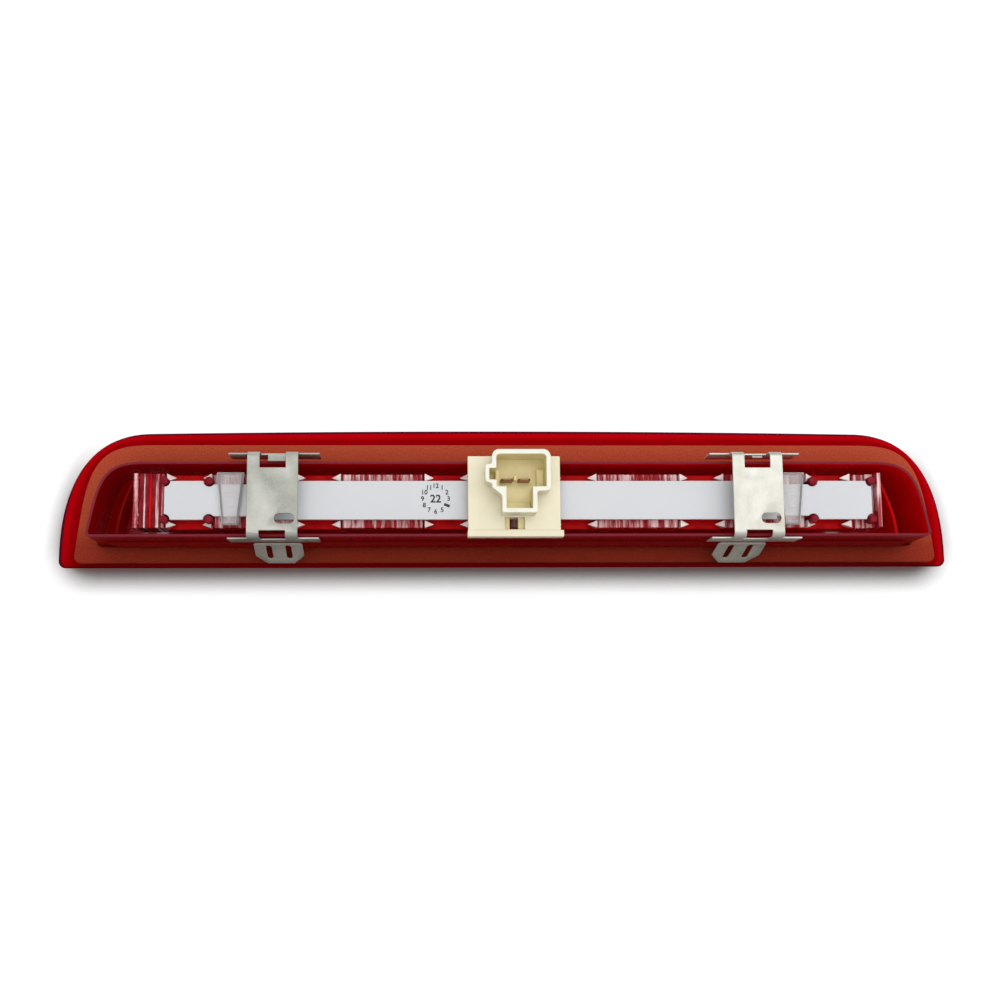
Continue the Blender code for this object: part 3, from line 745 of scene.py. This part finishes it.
def make_straps(mats):
    """Clear tapered straps with a raised border and three small ladder ribs."""
    for name in ("left_board_strap", "right_board_strap"):
        low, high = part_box(name)
        centre = (low.x + high.x) / 2
        rear = low.y
        wide, narrow = 5.4 * MM, 3.2 * MM
        outer = [
            (centre - narrow, low.z), (centre + narrow, low.z),
            (centre + wide, high.z), (centre - wide, high.z),
        ]
        edge = 0.9 * MM
        inner = [
            (centre - narrow + edge, low.z + edge), (centre + narrow - edge, low.z + edge),
            (centre + wide - edge * 1.3, high.z - edge), (centre - wide + edge * 1.3, high.z - edge),
        ]
        bm = bmesh.new()
        add_plate(bm, outer, rear, rear + 0.5 * MM, holes=[list(reversed(inner))])
        add_plate(bm, outer, rear + 0.5 * MM, rear + 1.5 * MM)
        for step in range(3):
            z = low.z + (7.0 + 3.2 * step) * MM
            rung = 1.3 * MM
            add_box(bm, centre - rung, centre + rung, rear + 0.2 * MM, rear + 0.6 * MM, z, z + 0.6 * MM)
        leg_rear = rear + 1.2 * MM
        reach = wide - 0.2 * MM
        add_box(bm, centre - reach, centre + reach, leg_rear, high.y, high.z - 1.6 * MM, high.z)
        add_box(bm, centre - narrow, centre + narrow, leg_rear, high.y, low.z, low.z + 1.4 * MM)
        finish_piece(f"{name}_moulding", bm, mats, [name], "root", bevel=0.15 * MM)


# ---------------------------------------------------------------- board and its parts


def arc(x, z, radius, start, stop, steps=7):
    points = []
    for step in range(steps + 1):
        turn = math.radians(start + (stop - start) * step / steps)
        points.append((x + radius * math.cos(turn), z + radius * math.sin(turn)))
    return points


def make_board(mats):
    """White board outline: wide notched ends, narrow necks, long middle."""
    x0, x1 = BOARD_LOW.x, BOARD_HIGH.x
    z0, z1 = BOARD_LOW.z, BOARD_HIGH.z
    neck = 1.4 * MM
    notch = 2.3 * MM
    left_neck = (-120.5 * MM, -101.0 * MM)
    right_neck = (107.0 * MM, 121.7 * MM)
    upper = arc(x1, z1, notch, 270.0, 180.0)
    upper += arc(right_neck[1], z1, notch, 0.0, -142.0)
    upper += [(right_neck[0], z1 - neck), (right_neck[0], z1)]
    upper += [(left_neck[1], z1), (left_neck[1], z1 - neck)]
    upper += arc(left_neck[0], z1, notch, -38.0, -180.0)
    upper += arc(x0, z1, notch, 0.0, -90.0)
    lower = [(x, z0 + z1 - z) for x, z in reversed(upper)]
    bm = bmesh.new()
    add_plate(bm, upper + lower, BOARD_LOW.y, BOARD_HIGH.y)
    finish_piece("white_board", bm, mats, ["led_board"], "root", bevel=0.08 * MM, segments=1)


def text_mesh(words, size, x, z, y):
    """Flat print of one number, facing the rear; drawn a metre high first so small loops fill cleanly."""
    curve = bpy.data.curves.new("number", "FONT")
    curve.body = words
    curve.size = 1.0
    curve.align_x = "CENTER"
    curve.align_y = "CENTER"
    curve.extrude = 0.03 * MM / size
    curve.offset = 0.02
    maker = bpy.data.objects.new("number", curve)
    bpy.context.scene.collection.objects.link(maker)
    bpy.context.view_layer.update()
    graph = bpy.context.evaluated_depsgraph_get()
    mesh = bpy.data.meshes.new_from_object(maker.evaluated_get(graph))
    upright = Matrix.Rotation(math.radians(90.0), 4, "X") @ Matrix.Scale(size, 4)
    mesh.transform(Matrix.Translation((x, y, z)) @ upright)
    bpy.data.objects.remove(maker)
    bpy.data.curves.remove(curve)
    return mesh


def make_date_dial(mats):
    """Printed ring of month numbers with a bar in place of one of them, and the two year digits."""
    centre_x, centre_z = -30.3 * MM, 19.8 * MM
    radius = 5.2 * MM
    rear = BOARD_LOW.y - 0.05 * MM
    month_size, year_size = 2.6 * MM, 4.4 * MM
    bar_month = 4
    bar_turn = math.radians(8.0)
    bar_half_length, bar_half_width = 1.2 * MM, 0.55 * MM
    half_ink = 0.03 * MM
    bm = bmesh.new()
    for month in range(1, 13):
        turn = math.radians(90.0 - 30.0 * month)
        x = centre_x + radius * math.cos(turn)
        z = centre_z + radius * math.sin(turn)
        if month == bar_month:
            long_x, long_z = math.cos(turn + bar_turn), math.sin(turn + bar_turn)
            corners = []
            for end, side in ((-1, -1), (1, -1), (1, 1), (-1, 1)):
                along, aside = end * bar_half_length, side * bar_half_width
                corners.append((x + long_x * along - long_z * aside, z + long_z * along + long_x * aside))
            add_plate(bm, corners, rear - half_ink, rear + half_ink)
            continue
        mesh = text_mesh(str(month), month_size, x, z, rear)
        bm.from_mesh(mesh)
        bpy.data.meshes.remove(mesh)
    mesh = text_mesh("22", year_size, centre_x, centre_z - 0.1 * MM, rear)
    bm.from_mesh(mesh)
    bpy.data.meshes.remove(mesh)
    finish_piece("date_dial_print", bm, mats, [], "root")


# ---------------------------------------------------------------- connector

# Socket outline and hollow in millimetres (x, z): keying step at the left, rounded top, narrow foot.
HEAD = [
    (-8.6, 21.8), (-8.6, 23.2), (-9.4, 23.6), (-10.6, 24.0), (-11.1, 24.6), (-11.2, 25.2),
    (-11.2, 30.3), (-10.9, 30.9), (-9.0, 31.1), (-8.6, 31.5),
    (-8.6, 34.2), (-8.2, 35.4), (-7.4, 36.4), (-6.2, 36.9),
    (12.0, 36.9), (13.2, 36.4), (14.0, 35.4), (14.4, 34.2),
    (14.4, 21.6), (14.0, 20.9), (13.2, 20.5), (9.6, 20.4),
    (9.0, 19.9), (9.0, 12.3), (8.6, 11.9), (-4.2, 11.9), (-4.7, 12.3), (-4.7, 18.2), (-5.3, 19.2),
]
HOLLOW = [
    (-3.0, 13.7), (7.2, 13.7), (7.2, 22.2), (12.6, 22.2),
    (12.6, 33.9), (12.0, 34.8), (11.2, 35.0), (-5.6, 35.0), (-6.4, 34.7), (-6.8, 33.9),
    (-6.8, 29.4), (-9.6, 29.4), (-9.6, 24.9), (-6.8, 24.9), (-6.8, 22.2), (-3.0, 22.2),
]


def make_connector(mats):
    """Ivory block: thick-lipped plate, T-shaped socket with stepped inside, lock window and side feet."""
    left, right = BLOCK_LOW.x, BLOCK_HIGH.x
    rear = -25.5 * MM
    front = BLOCK_HIGH.y
    low, high = BLOCK_LOW.z, 35.8 * MM
    window = scaled([(-3.1, 6.6), (4.7, 6.6), (4.7, 11.4), (-3.1, 11.4)])
    hollow = scaled(HOLLOW)
    bm = bmesh.new()
    plate = [(left, low), (right, low), (right, high), (left, high)]
    add_plate(bm, plate, rear, front, holes=[list(reversed(hollow)), list(reversed(window))])
    ivory, lip, deep = range(3)
    add_plate(bm, scaled(HEAD), BLOCK_LOW.y, rear + 0.3 * MM, holes=[list(reversed(hollow))])
    corners = {(round(x, 1), round(z, 1)) for x, z in HOLLOW}
    for face in bm.faces:
        spots = {(round(vert.co.x / MM, 1), round(vert.co.z / MM, 1)) for vert in face.verts}
        # Hollow walls take the inside copy with its painted light.
        if abs(face.normal.y) < 0.5 and spots <= corners:
            face.material_index = deep
        # Rear faces take the lighter copy with its painted light.
        elif face.calc_center_median().y < BLOCK_LOW.y + 0.1 * MM:
            face.material_index = lip
    floor = scaled([(-10.0, 13.3), (13.0, 13.3), (13.0, 35.4), (-10.0, 35.4)])
    add_plate(bm, floor, -22.4 * MM, front, slot=deep)
    for x0, x1 in ((-3.1, -1.1), (2.2, 4.7)):
        add_box(bm, x0 * MM, x1 * MM, -23.6 * MM, front, 6.5 * MM, 11.5 * MM, deep)
    add_box(bm, left - 0.2 * MM, right + 1.2 * MM, rear - 0.7 * MM, front, low - 0.3 * MM, low + 2.3 * MM)
    step_front = -22.3 * MM
    step_rear = -25.0 * MM
    add_box(bm, 0.6 * MM, 1.6 * MM, -25.6 * MM, step_front, 26.0 * MM, 28.0 * MM, deep)
    for x0, x1 in ((-6.7, -5.0), (9.6, 12.5)):
        add_box(bm, x0 * MM, x1 * MM, step_rear, step_front, 22.3 * MM, 30.5 * MM, deep)
    add_box(bm, -2.9 * MM, 7.1 * MM, step_rear, step_front, 13.8 * MM, 17.2 * MM, deep)
    finish_piece("socket_block", bm, mats, ["connector_block"], "root", bevel=0.22 * MM, angle=40.0)


def make_terminals(mats):
    """Blade terminals with chamfered tips and softened edges."""
    for name in ("left_terminal", "right_terminal"):
        low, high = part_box(name)
        cut = 0.7 * MM
        bm = bmesh.new()
        path = [
            (low.x, high.y), (low.x, low.y + cut), (low.x + cut, low.y), (high.x - cut, low.y),
            (high.x, low.y + cut), (high.x, high.y),
        ]
        bottom = [bm.verts.new((x, y, low.z)) for x, y in path]
        face = bm.faces.new(bottom)
        grown = bmesh.ops.extrude_face_region(bm, geom=[face])
        verts = [item for item in grown["geom"] if isinstance(item, bmesh.types.BMVert)]
        bmesh.ops.translate(bm, vec=(0, 0, high.z - low.z), verts=verts)
        bmesh.ops.recalc_face_normals(bm, faces=bm.faces)
        finish_piece(f"{name}_blade", bm, mats, [name], "root", bevel=0.15 * MM, segments=2)


# ---------------------------------------------------------------- spring clips


def bent_sheet(bm, x, across, path, present, width_at=None):
    """A sheet along a (y, z) path, made of the cells that are present, so notches and slots stay open."""
    grid = {}

    def corner(i, j):
        if (i, j) not in grid:
            u = across[i] if width_at is None else width_at(i, j)
            y, z = path[j]
            grid[i, j] = bm.verts.new((x + u, y, z))
        return grid[i, j]

    for j in range(len(path) - 1):
        for i in range(len(across) - 1):
            if present(i, j):
                bm.faces.new((corner(i, j), corner(i, j + 1), corner(i + 1, j + 1), corner(i + 1, j)))


def clip_path(low, high):
    """Top ear, upper bend, back plate, lower bend and bottom ear, as one line in (y, z)."""
    bend = 2.2 * MM
    ear = -23.7 * MM
    path = [(-14.0 * MM, high.z), (-18.0 * MM, high.z), (-22.5 * MM, high.z), (ear, high.z)]
    rear = low.y
    for step in range(1, 6):
        turn = math.radians(90.0 * step / 5)
        path.append((rear + bend - bend * math.sin(turn), high.z - bend + bend * math.cos(turn)))
    path += [(rear, 30.9 * MM), (rear, 18.0 * MM), (rear, 6.0 * MM)]
    for step in range(0, 6):
        turn = math.radians(90.0 * step / 5)
        path.append((rear + bend - bend * math.cos(turn), low.z + bend - bend * math.sin(turn)))
    path += [(ear, low.z), (-20.7 * MM, low.z), (-18.0 * MM, low.z), (-14.0 * MM, low.z)]
    return path


def slot_cutter(x0, x1, z0, z1, y0, y1):
    """A tool with round ends for the long slot in the clip's back plate."""
    radius = (z1 - z0) / 2
    points = arc(x1 - radius, z0 + radius, radius, -90.0, 90.0, 12)
    points += arc(x0 + radius, z0 + radius, radius, 90.0, 270.0, 12)
    bm = bmesh.new()
    add_plate(bm, points, y0, y1)
    mesh = bpy.data.meshes.new("slot_tool")
    bm.to_mesh(mesh)
    bm.free()
    return mesh


def clip_sheet(name, low, high):
    """The clip's stamped and bent sheet, with its thickness and its long slot, as an open bmesh."""
    x = (low.x + high.x) / 2
    across = [u * MM for u in (-18.0, -10.0, -5.1, 5.1, 10.0, 18.0)]
    path = clip_path(low, high)
    last = len(path) - 1

    def present(i, j):
        on_ear = j < 3 or j >= last - 3
        if i in (0, 4):
            return on_ear
        if i == 2:
            return j < 2 or 9 <= j < 11 or j >= last - 2
        return True

    bm = bmesh.new()
    bent_sheet(bm, x, across, path, present)
    mesh = bpy.data.meshes.new(name + "_sheet")
    bm.to_mesh(mesh)
    bm.free()
    sheet = bpy.data.objects.new(name + "_sheet", mesh)
    bpy.context.scene.collection.objects.link(sheet)
    wall = sheet.modifiers.new("wall", "SOLIDIFY")
    wall.thickness = 0.7 * MM
    wall.offset = -1.0
    slot_x = (x + 0.9 * MM, x + 8.6 * MM)
    slot_z = (8.7 * MM, 12.7 * MM)
    tool_mesh = slot_cutter(*slot_x, *slot_z, low.y - 1.0 * MM, low.y + 2.0 * MM)
    tool = bpy.data.objects.new(name + "_slot", tool_mesh)
    bpy.context.scene.collection.objects.link(tool)
    cut = sheet.modifiers.new("slot", "BOOLEAN")
    cut.operation = "DIFFERENCE"
    cut.solver = "EXACT"
    cut.object = tool
    bpy.context.view_layer.update()
    graph = bpy.context.evaluated_depsgraph_get()
    result = bpy.data.meshes.new_from_object(sheet.evaluated_get(graph))
    bm = bmesh.new()
    bm.from_mesh(result)
    for item in (sheet, tool):
        bpy.data.objects.remove(item)
    for item in (mesh, tool_mesh, result):
        bpy.data.meshes.remove(item)
    return bm


def add_flap(bm, x, path, span, thick=0.6 * MM):
    """A short bent tab along a (y, z) path in millimetres, as a closed strip of the sheet's thickness."""
    rows = []
    for offset in (0.0, thick):
        back, down = offset * 0.8, offset * 0.5
        row = []
        for y, z in path:
            row.append([bm.verts.new((x + u * MM, y * MM + back, z * MM - down)) for u in span])
        rows.append(row)
    near, far = rows
    made = []
    for index in range(len(path) - 1):
        after = index + 1
        for row in rows:
            made.append(bm.faces.new((row[index][0], row[after][0], row[after][1], row[index][1])))
        for side in (0, 1):
            corners = (near[index][side], near[after][side], far[after][side], far[index][side])
            made.append(bm.faces.new(corners))
    for end in (0, -1):
        made.append(bm.faces.new((near[end][0], near[end][1], far[end][1], far[end][0])))
    bmesh.ops.recalc_face_normals(bm, faces=made)


def make_clip(name, steel, tongue, tongue_span):
    """Stamped saddle clip with rounded bends, wide ears, a notch, a window, a slot and a lanced tongue."""
    low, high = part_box(name)
    bm = clip_sheet(name, low, high)
    add_flap(bm, (low.x + high.x) / 2, tongue, tongue_span)
    finish_piece(f"{name}_stamping", bm, steel, [name], "root", bevel=0.16 * MM, segments=2, angle=42.0)


def make_finger(name, steel, body, lean):
    """Flared spring tongue with a gentle curl, cut corners and two long slots, leaning to one side."""
    low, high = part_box(name)
    x = (low.x + high.x) / 2
    half = (high.x - low.x) / 2
    along = [0.0, 0.9, 1.5, 2.2, 6.0, 7.5, 8.4, 9.1, 11.9]
    widths = [0.9, 1.0, 1.0, 1.0, 1.0, 1.0, 0.91, 0.85, 0.55]
    slot_rows = range(2, 7)
    slot_ends = (2, 7)
    slot_x = 3.9 * MM
    path = []
    y, z = -13.55 * MM, 3.05 * MM
    before = 0.0
    for distance in along:
        flare = math.radians(24.0 + 14.0 * min(1.0, distance / 6.0))
        step = (distance - before) * MM
        y += step * math.cos(flare)
        z -= step * math.sin(flare)
        before = distance
        path.append((y, z))
    across = [-half, -5.05 * MM, -2.75 * MM, 2.75 * MM, 5.05 * MM, half]

    def present(i, j):
        return not (i in (1, 3) and j in slot_rows)

    def width_at(i, j):
        aside = lean * along[j] / along[-1]
        limit = half * widths[j] * 0.98
        if i in (0, 5):
            return aside + across[i] * widths[j]
        if j in slot_ends:
            middle = math.copysign(slot_x, across[i])
            return aside + middle + (across[i] - middle) * 0.4
        return aside + max(-limit, min(limit, across[i]))

    bm = bmesh.new()
    bent_sheet(bm, x, across, path, present, width_at)
    bmesh.ops.reverse_faces(bm, faces=bm.faces)
    finish_piece(f"{name}_tongue", bm, steel, [name], body, bevel=0.2 * MM, angle=42.0, solid=0.65 * MM)


# ---------------------------------------------------------------- assembly

make_camera()
make_world()
make_light()
make_stage()
MATS = make_materials()
make_lens([MATS["lens"], MATS["lens_front"]])
make_gasket([MATS["gasket"]])
make_housing([MATS["housing"]])
make_light_guide([MATS["optic_red"], MATS["optic_clear"], MATS["optic_pink"], MATS["optic_post"]])
make_straps([MATS["strap"]])
make_board([MATS["board"]])
make_date_dial([MATS["print"]])
make_connector([MATS["ivory"], MATS["ivory_lip"], MATS["ivory_deep"]])
make_terminals([MATS["copper"]])
LEFT_TONGUE = [(-24.0, 34.3), (-23.7, 35.4), (-23.4, 36.9)]
RIGHT_TONGUE = [(-23.2, 35.9), (-22.9, 36.4), (-22.4, 36.8)]
make_clip("left_clip", [MATS["steel_left"]], LEFT_TONGUE, (-2.4, 5.0))
make_clip("right_clip", [MATS["steel_right"]], RIGHT_TONGUE, (-0.6, 3.4))
make_finger("left_clip_finger", [MATS["steel_finger"]], "left_finger", 0.5 * MM)
make_finger("right_clip_finger", [MATS["steel_finger"]], "right_finger", -2.6 * MM)
dress_hidden_parts(MATS)
